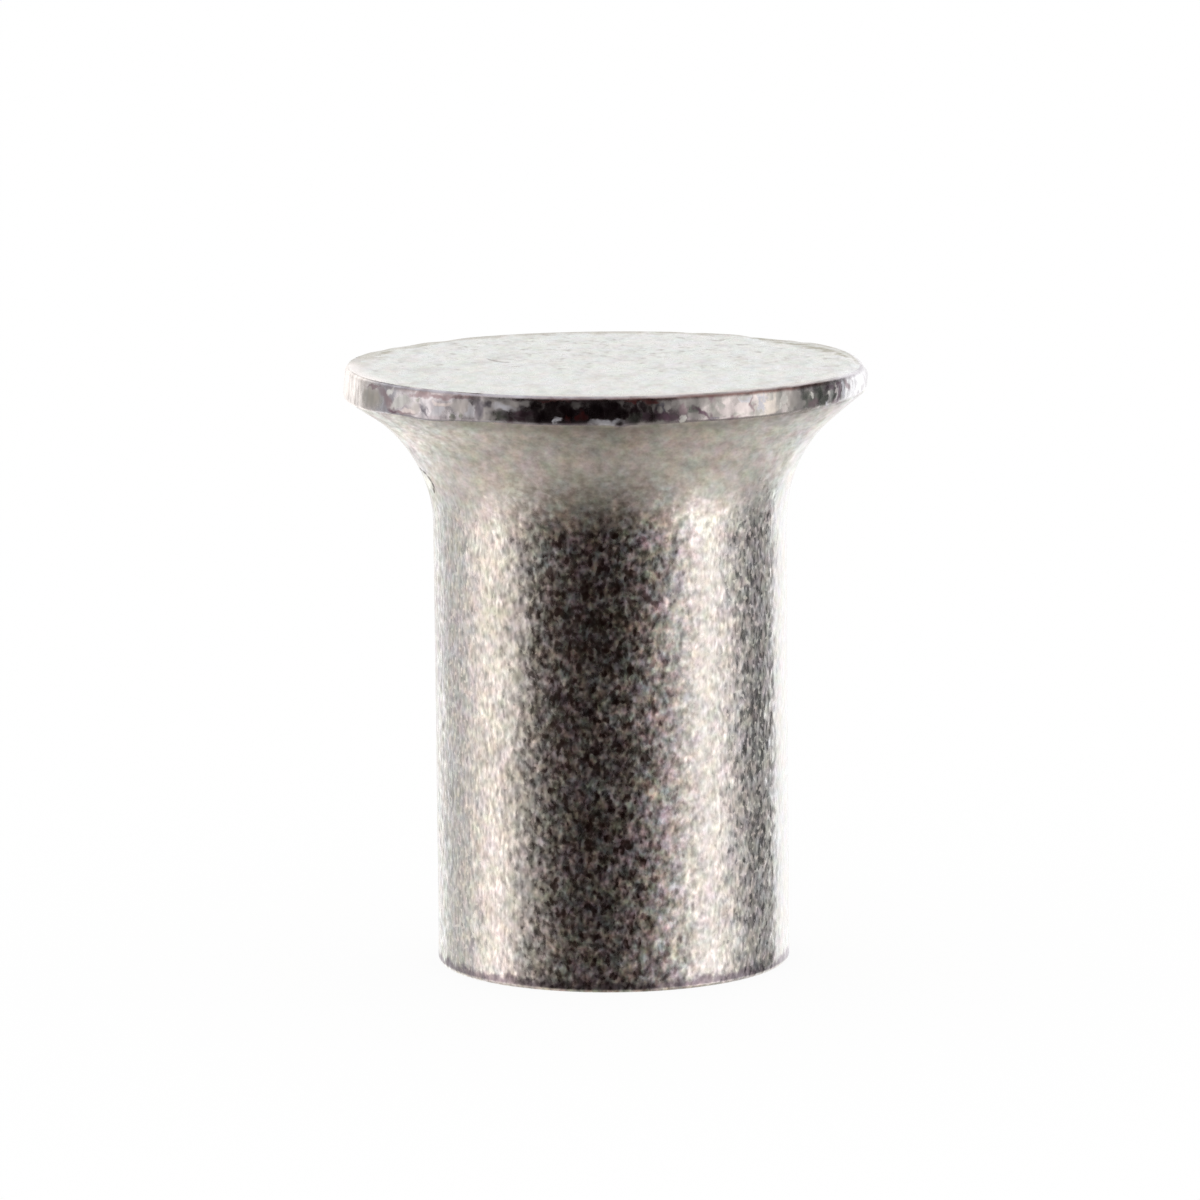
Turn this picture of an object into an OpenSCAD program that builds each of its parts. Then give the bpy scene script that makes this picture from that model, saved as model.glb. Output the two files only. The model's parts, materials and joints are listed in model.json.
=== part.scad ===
// Self-piercing rivet, cold-formed in one piece: a flat countersunk head, a trumpet neck,
// a plain shank and a hollow tail whose sharp lip cuts into the sheets and then flares.
// The rivet stands on its tail. The origin is the centre of the tail's flat lip,
// and +Z runs up the axis to the head. Sizes are in millimetres.

/* [Head] */
// Diameter of the head over its rim
head_d = 7.85; // [7.20:0.05:8.60]
// Height of the upright rim round the head, between its sharp corners
rim_h = 0.40; // [0.25:0.01:0.80]
// Rise of the head's underside for each millimetre outwards
underside_rise = 0.75; // [0.50:0.05:1.10]
// Radius on the rim's upper and lower edges
rim_edge_r = 0.06; // [0.02:0.01:0.11]

/* [Shank] */
// Diameter of the shank
shank_d = 5.30; // [5.00:0.05:5.60]
// Length over all, from the tail's lip to the top of the head
length = 9.05; // [8.00:0.05:12.00]
// Radius of the neck, which blends the shank into the head's underside
neck_r = 2.10; // [1.00:0.05:2.40]

/* [Hollow tail] */
// Diameter of the bore up the tail
bore_d = 3.30; // [2.90:0.05:3.70]
// Depth of the bore, from the lip to the flat at its end
bore_depth = 5.80; // [4.00:0.05:6.50]
// Diameter of the flat that the forming punch leaves at the bore's end
bore_flat_d = 1.38; // [0.80:0.02:2.00]
// Height of the slope between that flat and the bore's wall
bore_slope_h = 0.28; // [0.10:0.02:0.60]
// Radius where the bore's wall turns into that slope
bore_corner_r = 0.50; // [0.20:0.05:0.60]
// Width of the flat ring left at the lip
lip_w = 0.22; // [0.12:0.01:0.30]
// Height of the bevel inside the lip
lip_bevel_h = 0.80; // [0.40:0.05:1.20]
// Radius on the outer edge of the lip
lip_edge_r = 0.06; // [0.05:0.01:0.20]

/* [Hidden] */
$fn = 128;

head_radius = head_d / 2;
shank_radius = shank_d / 2;
bore_radius = bore_d / 2;
bore_flat_radius = bore_flat_d / 2;
mouth_radius = shank_radius - lip_edge_r - lip_w;

// In the half-section x is the distance from the axis and y the height.
// The underside slopes down from the rim, and would meet the shank at underside_foot.
rim_foot = [head_radius, length - rim_h];
underside_w = head_radius - shank_radius;
underside_foot = rim_foot - [underside_w, underside_w * underside_rise];
bore_corner = [bore_radius, bore_depth - bore_slope_h];
bore_flat_edge = [bore_flat_radius, bore_depth];

UP = [0, 1];
DOWN = [0, -1];
INWARD = [-1, 0];

// Unit vector from one point towards another.
function toward(from, to) = (to - from) / norm(to - from);
function angle_between(a, b) = acos(a * b);

// The largest radius, up to r, whose arc keeps to nine tenths of a side of the given length.
function radius_that_fits(r, side, a, b) = min(r, 0.9 * side * tan(angle_between(a, b) / 2));

// The sliver between a corner and the arc of radius r that is tangent to both of its sides,
// which leave the corner along the unit vectors a and b. Added in a hollow corner it makes
// a fillet, and cut from a proud one it rounds the edge.
module corner_sliver(corner, a, b, r) {
    half_angle = angle_between(a, b) / 2;
    run = r / tan(half_angle);
    centre = corner + (a + b) / norm(a + b) * r / sin(half_angle);
    difference() {
        polygon([corner, corner + a * run, centre, corner + b * run]);
        translate(centre) circle(r = r);
    }
}

// Half-section of the head: top, rim and sloping underside, with both edges rounded.
module head_section() {
    difference() {
        polygon([
            [0, underside_foot.y], underside_foot, rim_foot,
            [head_radius, length], [0, length]
        ]);
        corner_sliver([head_radius, length], INWARD, DOWN, rim_edge_r);
        corner_sliver(rim_foot, UP, toward(rim_foot, underside_foot), rim_edge_r);
    }
}

// Half-section of the metal that fills the corner between the shank and the underside.
module neck_section() {
    outward = toward(underside_foot, rim_foot);
    slope_length = norm(rim_foot - underside_foot);
    corner_sliver(underside_foot, DOWN, outward,
                  radius_that_fits(neck_r, slope_length, DOWN, outward));
}

// Half-section of the shank, before it is hollowed, with the lip's outer edge rounded.
module shank_section() {
    difference() {
        square(underside_foot);
        corner_sliver([shank_radius, 0], UP, INWARD, lip_edge_r);
    }
}

// Half-section of the hollow: bevelled mouth, straight bore, and the end that the punch forms.
module bore_section() {
    inward = toward(bore_corner, bore_flat_edge);
    slope_length = norm(bore_flat_edge - bore_corner);
    difference() {
        polygon([
            [0, 0], [mouth_radius, 0], [bore_radius, lip_bevel_h],
            bore_corner, bore_flat_edge, [0, bore_depth]
        ]);
        corner_sliver(bore_corner, DOWN, inward,
                      radius_that_fits(bore_corner_r, slope_length, DOWN, inward));
    }
}

module rivet() {
    color([0.71, 0.70, 0.67])
    rotate_extrude()
    difference() {
        union() {
            head_section();
            neck_section();
            shank_section();
        }
        bore_section();
    }
}

rivet();
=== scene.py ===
"""Looks of a self-piercing rivet: one turned, plated steel piece standing on its hollow tail."""
import json
import math

import bpy
import numpy as np
from mathutils import Matrix, Vector, noise


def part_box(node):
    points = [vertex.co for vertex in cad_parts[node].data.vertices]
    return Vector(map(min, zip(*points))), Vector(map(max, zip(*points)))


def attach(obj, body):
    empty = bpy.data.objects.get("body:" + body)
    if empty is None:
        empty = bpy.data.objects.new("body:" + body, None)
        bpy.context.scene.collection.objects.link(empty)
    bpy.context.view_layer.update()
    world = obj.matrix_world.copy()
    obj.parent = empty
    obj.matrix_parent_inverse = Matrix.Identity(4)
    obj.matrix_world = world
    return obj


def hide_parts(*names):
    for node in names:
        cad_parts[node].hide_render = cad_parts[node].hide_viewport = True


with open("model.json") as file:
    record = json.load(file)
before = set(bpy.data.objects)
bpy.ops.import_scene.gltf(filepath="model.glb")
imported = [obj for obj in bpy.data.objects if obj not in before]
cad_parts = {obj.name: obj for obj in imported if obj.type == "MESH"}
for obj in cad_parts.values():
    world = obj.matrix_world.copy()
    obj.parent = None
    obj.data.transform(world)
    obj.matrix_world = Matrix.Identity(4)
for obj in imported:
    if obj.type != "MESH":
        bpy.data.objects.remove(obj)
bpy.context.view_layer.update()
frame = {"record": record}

MM = 0.001
NODE = "rivet"

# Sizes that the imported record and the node's box give, in millimetres.
mounts = {m["name"]: m for m in frame["record"]["mounts"]}
node_low, node_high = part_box(NODE)
HEAD_R = (node_high.x - node_low.x) / 2 / MM
LENGTH = node_high.z / MM
SHANK_R = mounts["shank"]["dims"]["r_mm"]
BORE_R = mounts["tail_bore"]["dims"]["r_mm"]

# Sizes of the half-section, as the part's source has them, in millimetres.
RIM_H = 0.40
UNDERSIDE_RISE = 0.75
RIM_EDGE_R = 0.06
NECK_R = 2.10
BORE_DEPTH = 5.80
BORE_FLAT_R = 0.69
BORE_SLOPE_H = 0.28
BORE_CORNER_R = 0.50
LIP_W = 0.22
LIP_BEVEL_H = 0.80
LIP_EDGE_R = 0.06

# The underside's slope in degrees, and the height of the rim's foot.
SLOPE = math.degrees(math.atan(UNDERSIDE_RISE))
RIM_FOOT = LENGTH - RIM_H

# Columns of the mesh round the rim, round the shank and inside the bore.
RIM_COLUMNS, SHANK_COLUMNS, BORE_COLUMNS = 640, 320, 160


# ---------------------------------------------------------------- half-section

def tangent_run(radius, angle):
    """How far the ends of an arc lie from the corner that it rounds, of 90 + angle degrees."""
    return radius / math.tan(math.radians(90 + angle) / 2)


class Section:
    """Rings along the half-section. Each is (radius, height, zone, columns)."""

    def __init__(self, start, zone, columns):
        self.rings = [(*start, zone, columns)]

    def line(self, end, spacing, zone, columns):
        """Evenly spaced rings from the last one to end."""
        start = np.array(self.rings[-1][:2])
        steps = max(1, math.ceil(math.dist(start, end) / spacing))
        for i in range(steps):
            x, z = start + (np.array(end) - start) * (i + 1) / steps
            self.rings.append((x, z, zone, columns))

    def arc(self, centre, radius, start, end, steps, zone, columns):
        """Rings on an arc, angles in degrees, without its first point."""
        for angle in np.linspace(math.radians(start), math.radians(end), steps + 1)[1:]:
            x = centre[0] + radius * math.cos(angle)
            z = centre[1] + radius * math.sin(angle)
            self.rings.append((x, z, zone, columns))


def add_head(section):
    """The head's top and its rim, with both edges rounded."""
    edge_x = HEAD_R - RIM_EDGE_R
    section.line((1.6, LENGTH), 0.12, "top", BORE_COLUMNS)
    section.line((3.3, LENGTH), 0.09, "top", SHANK_COLUMNS)
    section.line((edge_x, LENGTH), 0.06, "top", RIM_COLUMNS)
    section.arc((edge_x, LENGTH - RIM_EDGE_R), RIM_EDGE_R, 90, 0, 4, "rim", RIM_COLUMNS)
    lower_edge = (edge_x, RIM_FOOT + tangent_run(RIM_EDGE_R, SLOPE))
    section.line((HEAD_R, lower_edge[1]), 0.035, "rim", RIM_COLUMNS)
    section.arc(lower_edge, RIM_EDGE_R, 0, SLOPE - 90, 3, "rim", RIM_COLUMNS)


def add_neck_and_shank(section):
    """The sloping underside, the neck's arc, the shank and the lip's outer edge."""
    foot_z = RIM_FOOT - (HEAD_R - SHANK_R) * UNDERSIDE_RISE
    centre = (SHANK_R + NECK_R, foot_z - tangent_run(NECK_R, SLOPE))
    neck_top = (centre[0] - NECK_R * math.sin(math.radians(SLOPE)),
                centre[1] + NECK_R * math.cos(math.radians(SLOPE)))
    section.line(neck_top, 0.045, "skin", SHANK_COLUMNS)
    section.arc(centre, NECK_R, 90 + SLOPE, 180, 66, "skin", SHANK_COLUMNS)
    section.line((SHANK_R, LIP_EDGE_R), 0.062, "skin", SHANK_COLUMNS)
    lip_centre = (SHANK_R - LIP_EDGE_R, LIP_EDGE_R)
    section.arc(lip_centre, LIP_EDGE_R, 0, -90, 6, "skin", SHANK_COLUMNS)


def add_bore(section):
    """The flat lip, the bevelled mouth, the bore and the end that the punch forms."""
    mouth_r = SHANK_R - LIP_EDGE_R - LIP_W
    section.line((mouth_r, 0), 0.08, "bore", SHANK_COLUMNS)
    section.line((BORE_R, LIP_BEVEL_H), 0.12, "bore", BORE_COLUMNS)
    end_slope = math.degrees(math.atan2(BORE_SLOPE_H, BORE_R - BORE_FLAT_R))
    run = tangent_run(BORE_CORNER_R, end_slope)
    centre = (BORE_R - BORE_CORNER_R, BORE_DEPTH - BORE_SLOPE_H - run)
    section.line((BORE_R, centre[1]), 0.14, "bore", BORE_COLUMNS)
    section.arc(centre, BORE_CORNER_R, 0, 90 - end_slope, 6, "end", BORE_COLUMNS)
    section.line((BORE_FLAT_R, BORE_DEPTH), 0.14, "end", BORE_COLUMNS)
    section.line((0.1, BORE_DEPTH), 0.15, "end", BORE_COLUMNS)


def half_section():
    """Rings from the middle of the head's top, over the outside, to the end of the bore."""
    section = Section((0.08, LENGTH), "top", BORE_COLUMNS)
    add_head(section)
    add_neck_and_shank(section)
    add_bore(section)
    return section.rings


# ------------------------------------------------------------------- the mesh

# Dents and bulges round the rim: (turn in degrees, height, half-width in degrees, half-height,
# depth). Turns start at the camera's side and go towards +X. Lengths are in millimetres.
RIM_DENTS = [
    (-74, 8.82, 3.0, 0.20, 0.020), (-66, 8.84, 3.0, 0.25, -0.018), (-58.5, 8.86, 1.6, 0.22, 0.026),
    (-52, 8.88, 3.4, 0.14, -0.022), (-44, 8.76, 1.8, 0.10, 0.024), (-40, 8.86, 2.6, 0.10, -0.016),
    (-34, 8.78, 1.4, 0.12, 0.016), (-29, 8.84, 2.0, 0.30, 0.018), (-22, 8.76, 3.0, 0.07, -0.020),
    (-12, 8.82, 3.0, 0.12, 0.022), (-3, 8.74, 4.0, 0.10, -0.020), (3, 8.66, 0.9, 0.08, -0.020),
    (9, 8.86, 2.0, 0.12, 0.018), (17, 8.70, 1.6, 0.07, -0.022), (24, 8.80, 2.4, 0.10, 0.014),
    (30, 8.84, 2.0, 0.14, -0.012), (33.5, 8.84, 0.8, 0.25, 0.014), (40, 8.84, 3.2, 0.16, -0.016),
    (48, 8.84, 1.8, 0.16, 0.016), (56, 8.82, 1.6, 0.14, -0.016), (66, 8.84, 1.2, 0.30, 0.010),
]

# The rim's lower edge isn't level: (turn in degrees, half-width in degrees, rise).
RIM_FOOT_WAVES = [(-70, 16, -0.045), (72, 20, 0.040), (3, 1.6, -0.030), (-24, 5, 0.012),
                  (-42, 6, -0.035), (20, 6, 0.010), (150, 30, 0.03), (-140, 24, -0.02)]

# Dents in the top's back edge: (turn in degrees, half-width in degrees, depth).
TOP_EDGE_DENTS = [(137, 5, 0.030), (129, 2.5, 0.018), (144, 3, 0.022), (-128, 6, 0.020),
                  (-140, 4, 0.022), (-118, 3, 0.014), (160, 2, 0.010)]

# Wear on the right end of the top edge: where it is and how wide, in degrees, and how far it
# takes the edge inwards and down.
WEAR_TURN, WEAR_WIDTH = 92, 20
WEAR_IN, WEAR_DOWN = 0.075, 0.045

# How far the head sits to the left of the shank's axis, and the heights that it grows between.
HEAD_SHIFT = -0.044
SHIFT_FROM, SHIFT_TO = 6.8, 8.5

# How much the whole surface wavers, and the waves' number to a millimetre.
WAVER, WAVER_RATE = 0.006, 1.3


def smoothstep(low, high, value):
    t = min(1.0, max(0.0, (value - low) / (high - low)))
    return t * t * (3 - 2 * t)


def bump_at(value, centre, half_width):
    return math.exp(-((value - centre) / half_width) ** 2)


def rim_relief(turn, height):
    """How far the rim stands out at a turn in degrees, in millimetres."""
    angle = math.radians(turn)
    spot = Vector((math.sin(angle), math.cos(angle), 0)) * HEAD_R
    flats = noise.noise(spot * 2.6 + Vector((0, 0, height * 0.9)))
    ripple = noise.noise(spot * 7.0 + Vector((7, 3, height * 2.5)))
    dents = sum(depth * bump_at(turn, at, wide) * bump_at(height, level, tall)
                for at, level, wide, tall, depth in RIM_DENTS)
    lean = 0.022 * math.sin(angle) * (height - 8.86) / 0.2
    return 0.009 * flats + 0.005 * ripple - 0.012 + lean - 0.6 * dents


def foot_wave(turn, height):
    """How far the rim's wavy lower edge moves a point up."""
    wave = sum(rise * bump_at(turn, at, wide) for at, wide, rise in RIM_FOOT_WAVES)
    return wave * smoothstep(8.2, 8.64, height) * smoothstep(8.98, 8.70, height)


def wear_at(radius, height, turn, zone):
    """How much of the wear on the top edge's right end a point takes, from 0 to 1."""
    if zone == "top":
        reach = smoothstep(HEAD_R - 0.30, HEAD_R - RIM_EDGE_R, radius)
    else:
        reach = smoothstep(8.84, LENGTH, height)
    return bump_at(turn, WEAR_TURN, WEAR_WIDTH) * reach


def back_edge_dent(radius, height, turn):
    """How deep the dents in the top's edge are at a point."""
    edge = smoothstep(HEAD_R - 0.22, HEAD_R - 0.02, radius) * smoothstep(8.7, 9.0, height)
    return sum(depth * edge * bump_at(turn, at, wide) for at, wide, depth in TOP_EDGE_DENTS)


def place(radius, height, turn, zone):
    """The point of the surface at a turn, in degrees from the camera's side towards +X."""
    angle = math.radians(turn)
    out = Vector((math.sin(angle), -math.cos(angle), 0))
    point = out * radius + Vector((0, 0, height))
    point += out * WAVER * noise.noise(point * WAVER_RATE)
    if zone == "rim":
        point += out * rim_relief(turn, height)
    if zone in ("rim", "skin"):
        point.z += foot_wave(turn, height)
    if zone in ("top", "rim"):
        wear = wear_at(radius, height, turn, zone)
        point -= out * WEAR_IN * wear
        point.z -= WEAR_DOWN * wear
    point.z -= back_edge_dent(radius, height, turn)
    point.x += HEAD_SHIFT * smoothstep(SHIFT_FROM, SHIFT_TO, height)
    return point * MM


def wrapped(turn):
    """A turn in degrees, brought between -180 and 180."""
    return (turn + 180) % 360 - 180


def join_rings(a, count_a, b, count_b):
    """Faces between rings a and b, where one may have twice the columns of the other.

    A face is a list of (ring, column). Columns run on past the last one, not back to 0."""
    if count_a == count_b:
        return [[(a, i), (b, i), (b, i + 1), (a, i + 1)] for i in range(count_a)]
    coarse, fine = (a, b) if count_a < count_b else (b, a)
    faces = []
    for i in range(min(count_a, count_b)):
        faces.append([(coarse, i), (fine, 2 * i), (fine, 2 * i + 1)])
        faces.append([(coarse, i), (fine, 2 * i + 1), (coarse, i + 1)])
        faces.append([(coarse, i + 1), (fine, 2 * i + 1), (fine, 2 * i + 2)])
    return faces if coarse == a else [face[::-1] for face in faces]


# Ring numbers that stand for the two poles: the middle of the top, and of the bore's end.
TOP_POLE, END_POLE = -1, -2


def rivet_faces(rings):
    """All faces with their zones: the two ends, then each pair of rings."""
    last = len(rings) - 1
    faces = [([(TOP_POLE, 0), (0, i), (0, i + 1)], "top") for i in range(rings[0][3])]
    for k in range(last):
        for face in join_rings(k, rings[k][3], k + 1, rings[k + 1][3]):
            faces.append((face, rings[k + 1][2]))
    faces += [([(END_POLE, 0), (last, i + 1), (last, i)], "end") for i in range(rings[last][3])]
    return faces


# Where each zone lies on the texture map: the left, the bottom and the strip's width, in
# millimetres. The top and the bore's end are discs, and the others are unrolled strips.
MAP_SIDE = 20.5
MAP_PLACES = {"skin": (0.2, 0.2, 20.0), "rim": (0.2, 10.3, 20.0), "top": (4.3, 16.2, 0),
              "bore": (8.8, 11.6, 11.2), "end": (18.6, 18.6, 0)}

# The slot of each zone's material, in the order that make_rivet fills them.
MATERIAL_OF = {"top": 0, "rim": 1, "skin": 2, "bore": 3, "end": 3}


def map_point(zone, radius, along, share):
    """The map's point for a radius, a distance along the half-section and a share of a turn."""
    left, bottom, width = MAP_PLACES[zone]
    if width:
        return ((left + share * width) / MAP_SIDE, (bottom + along) / MAP_SIDE)
    angle = 2 * math.pi * share
    return ((left + radius * math.sin(angle)) / MAP_SIDE,
            (bottom - radius * math.cos(angle)) / MAP_SIDE)


def map_of(rings, faces):
    """The texture map's numbers, corner by corner."""
    zone_start = {}
    along = [0.0]
    for before, after in zip(rings, rings[1:]):
        along.append(along[-1] + math.dist(before[:2], after[:2]))
    for k, ring in reversed(list(enumerate(rings))):
        zone_start[ring[2]] = along[max(k - 1, 0)]
    numbers = []
    for face, zone in faces:
        for ring, column in face:
            if ring < 0:
                numbers += map_point(zone, 0, 0, 0)
                continue
            radius, _, _, columns = rings[ring]
            numbers += map_point(zone, radius, along[ring] - zone_start[zone], column / columns)
    return numbers


def rivet_points(rings):
    """All points, ring by ring and then the poles, and the number of each ring's first one."""
    points, starts = [], []
    for radius, height, zone, columns in rings:
        starts.append(len(points))
        points += [place(radius, height, wrapped(360 * i / columns), zone) for i in range(columns)]
    points.append(Vector((HEAD_SHIFT, 0, rings[0][1])) * MM)
    points.append(Vector((0, 0, rings[-1][1])) * MM)
    return points, starts


def rivet_mesh():
    """The closed skin of the rivet, its rings turned about the axis."""
    rings = half_section()
    points, starts = rivet_points(rings)
    poles = {TOP_POLE: len(points) - 2, END_POLE: len(points) - 1}

    def vertex(ring, column):
        return poles[ring] if ring < 0 else starts[ring] + column % rings[ring][3]

    faces = rivet_faces(rings)
    mesh = bpy.data.meshes.new("rivet_skin")
    mesh.from_pydata(points, [], [[vertex(*corner) for corner in face] for face, _ in faces])
    mesh.polygons.foreach_set("material_index", [MATERIAL_OF[zone] for _, zone in faces])
    mesh.polygons.foreach_set("use_smooth", [True] * len(faces))
    mesh.uv_layers.new(name="OFBake").data.foreach_set("uv", map_of(rings, faces))
    mesh.update()
    return mesh


# ------------------------------------------------------------------ materials

class Nodes:
    """Short calls that add linked nodes to a tree."""

    def __init__(self, tree):
        self.tree = tree
        tree.nodes.clear()

    def fill(self, socket, value):
        """Link a socket to another one, or give it a constant. Colours are (r, g, b)."""
        if isinstance(value, bpy.types.NodeSocket):
            self.tree.links.new(value, socket)
        elif socket.type == "RGBA":
            socket.default_value = (*value, 1.0)
        else:
            socket.default_value = value

    def add(self, kind, inputs=None, **settings):
        node = self.tree.nodes.new("ShaderNode" + kind)
        for name, value in settings.items():
            setattr(node, name, value)
        for name, value in (inputs or {}).items():
            self.fill(node.inputs[name], value)
        return node

    def maths(self, operation, a, b=0.0, c=0.0, clamp=False):
        return self.add("Math", {0: a, 1: b, 2: c}, operation=operation,
                        use_clamp=clamp).outputs[0]

    def product(self, first, *others):
        for other in others:
            first = self.maths("MULTIPLY", first, other)
        return first

    def away(self, value, centre=0.0):
        """How far a value is from a centre, on either side."""
        return self.maths("ABSOLUTE", self.maths("SUBTRACT", value, centre))

    def vector(self, operation, a, b=(0, 0, 0), c=(0, 0, 0)):
        return self.add("VectorMath", {0: a, 1: b, 2: c}, operation=operation).outputs[0]

    def remap(self, value, low, high, to_low=0.0, to_high=1.0, kind="LINEAR"):
        inputs = {"Value": value, "From Min": low, "From Max": high,
                  "To Min": to_low, "To Max": to_high}
        return self.add("MapRange", inputs, interpolation_type=kind).outputs["Result"]

    def ease(self, value, low, high, to_low=0.0, to_high=1.0):
        """A remap that starts and ends gently."""
        return self.remap(value, low, high, to_low, to_high, kind="SMOOTHSTEP")

    def spread(self, grain, to_low=0.0, to_high=1.0):
        """Noise, which keeps mostly between 0.3 and 0.7, spread over a range."""
        return self.remap(grain, 0.3, 0.7, to_low, to_high)

    def blend(self, share, a, b):
        """A number between a and b."""
        return self.add("Mix", {0: share, 2: a, 3: b}).outputs[0]

    def mix(self, share, a, b, blend="MIX"):
        """A colour between a and b."""
        node = self.add("Mix", data_type="RGBA", blend_type=blend)
        for index, value in ((0, share), (6, a), (7, b)):
            self.fill(node.inputs[index], value)
        return node.outputs[2]

    def grey(self, value):
        return self.add("CombineColor", {0: value, 1: value, 2: value}).outputs[0]

    def turned(self, place, seed):
        """The place, turned and moved in a way of its own for each seed."""
        angles = (0.7 + 1.3 * seed, 0.4 + 2.1 * seed, 1.1 + 0.9 * seed)
        shift = (0.013 * seed, 0.029 * seed, 0.017)
        node = self.add("Mapping", {"Vector": place, "Rotation": angles, "Location": shift})
        return node.outputs[0]

    def grain(self, place, size, detail=2.0, roughness=0.5, seed=0.0):
        """Noise whose grains are about size millimetres across."""
        node = self.add("TexNoise", {"Vector": self.turned(place, seed), "Scale": 0.5 / size / MM,
                                     "Detail": detail, "Roughness": roughness})
        return node.outputs["Fac"]

    def marks(self, turn, height, rows, soft=1.0):
        """Soft-edged oval marks: 1 inside them, 0 outside.

        A row is (turn, height, half-width, half-height), with turns and widths in degrees and
        lengths in millimetres. A mark that leans has a fifth number: how many degrees it moves
        on for each millimetre upwards."""
        inside = 0.0
        for at, level, wide, tall, *lean in rows:
            rise = self.maths("SUBTRACT", height, level)
            middle = self.maths("MULTIPLY_ADD", rise, lean[0] if lean else 0.0, at)
            across = self.product(self.maths("SUBTRACT", turn, middle), 1 / wide)
            up = self.product(rise, 1 / tall)
            square = self.maths("MULTIPLY_ADD", up, up, self.product(across, across))
            mark = self.ease(square, 1.0 + soft, 0.6 - 0.6 * soft)
            inside = self.maths("MAXIMUM", inside, mark)
        return inside

    def parts(self, vector):
        node = self.add("SeparateXYZ", {0: vector})
        return (node.outputs[axis] for axis in "XYZ")

    def metal(self, colour, rough, depth, distance, normal=None):
        """The tree's end: a metal whose bumps are distance millimetres deep."""
        bumps = self.add("Bump", {"Height": depth, "Distance": distance * MM})
        if normal is not None:
            self.fill(bumps.inputs["Normal"], normal)
        shader = self.add("BsdfPrincipled", {"Base Color": colour, "Metallic": 1.0,
                                             "Roughness": rough, "Normal": bumps.outputs[0]})
        self.add("OutputMaterial", {"Surface": shader.outputs[0]})


def new_material(name):
    material = bpy.data.materials.new(name)
    material.use_nodes = True
    return material, Nodes(material.node_tree)


class Finish:
    """What the outer materials share: the nodes, and where a point lies on the rivet."""

    def __init__(self, n):
        self.n = n
        self.place = n.add("TexCoord").outputs["Object"]
        self.x, self.y, self.height = (n.maths("DIVIDE", part, MM) for part in n.parts(self.place))
        # The turn in degrees, from the camera's side towards +X, and its size on either side.
        self.turn = n.maths("DEGREES", n.maths("ARCTAN2", self.x, n.product(self.y, -1.0)))
        self.sideways = n.away(self.turn)


# A torn flake on the neck's left: the painted shadow in the dark crescent behind it, and the
# painted highlight on its bright face. These and all marks below are rows for Nodes.marks.
FLAKE_SHADOW = [(-78.5, 7.55, 2.4, 0.022), (-74.2, 7.53, 2.0, 0.026, -20),
                (-71.2, 7.45, 1.1, 0.050, -12), (-70.2, 7.36, 1.0, 0.050),
                (-71.6, 7.27, 1.0, 0.045, 14)]
FLAKE_HIGHLIGHT_MARKS = [(-77.0, 7.38, 4.6, 0.120)]

# Patches on the shank's front that are a little shinier, and so darker there.
SHINY_PATCHES = [(-3, 5.95, 15, 0.95), (4, 5.0, 10, 0.5), (-3, 2.45, 11, 0.38),
                 (-20, 3.9, 10, 0.6)]

# The plating's grains at large and on the camera's side, where painted light and shade spread them
# most.
GRAIN_DULL, GRAIN_BRIGHT = (0.53, 0.52, 0.515), (0.90, 0.89, 0.885)
FRONT_SHADED_GRAIN, FRONT_LIT_GRAIN = (0.38, 0.37, 0.36), (1.0, 0.99, 0.98)
# Pits: a reddish stain, and painted shade that darkens them, most on the camera's side.
PIT_STAIN_AND_SHADE, FRONT_PIT_STAIN_AND_SHADE = (0.50, 0.41, 0.40), (0.40, 0.22, 0.22)
GLINT_SPECK = (0.98, 0.97, 0.95)
WORN_SMOOTH = (0.74, 0.735, 0.73)
NECK_DULL, NECK_PALE = (0.51, 0.50, 0.475), (0.96, 0.95, 0.935)
GRIT, SOOT_AND_SHADE, MAUVE = (0.34, 0.28, 0.25), (0.20, 0.17, 0.14), (0.19, 0.14, 0.19)
# The flake's painted highlight and painted shadow.
FLAKE_HIGHLIGHT_COLOUR, FLAKE_SHADOW_COLOUR = (1.0, 1.0, 0.93), (0.12, 0.10, 0.09)

# Tints of the grains: (size in millimetres, seed, the two tints at large, the two in front).
GRAIN_TINTS = [
    (0.09, 3, ((1.035, 0.98, 0.995), (0.975, 1.01, 1.0)),
     ((1.16, 0.92, 0.96), (0.92, 1.04, 0.98))),
    (0.11, 9, ((1.0, 0.995, 1.035), (1.005, 1.0, 0.93)),
     ((0.97, 0.985, 1.13), (1.03, 1.01, 0.84))),
]

# Larger stains, rosy and green, then yellow and blue: (size in millimetres, seed, tints).
STAINS = [(0.15, 16, (1.07, 0.965, 0.99), (0.95, 1.03, 0.985)),
          (0.18, 17, (1.01, 1.0, 0.93), (0.995, 0.995, 1.06))]


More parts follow.
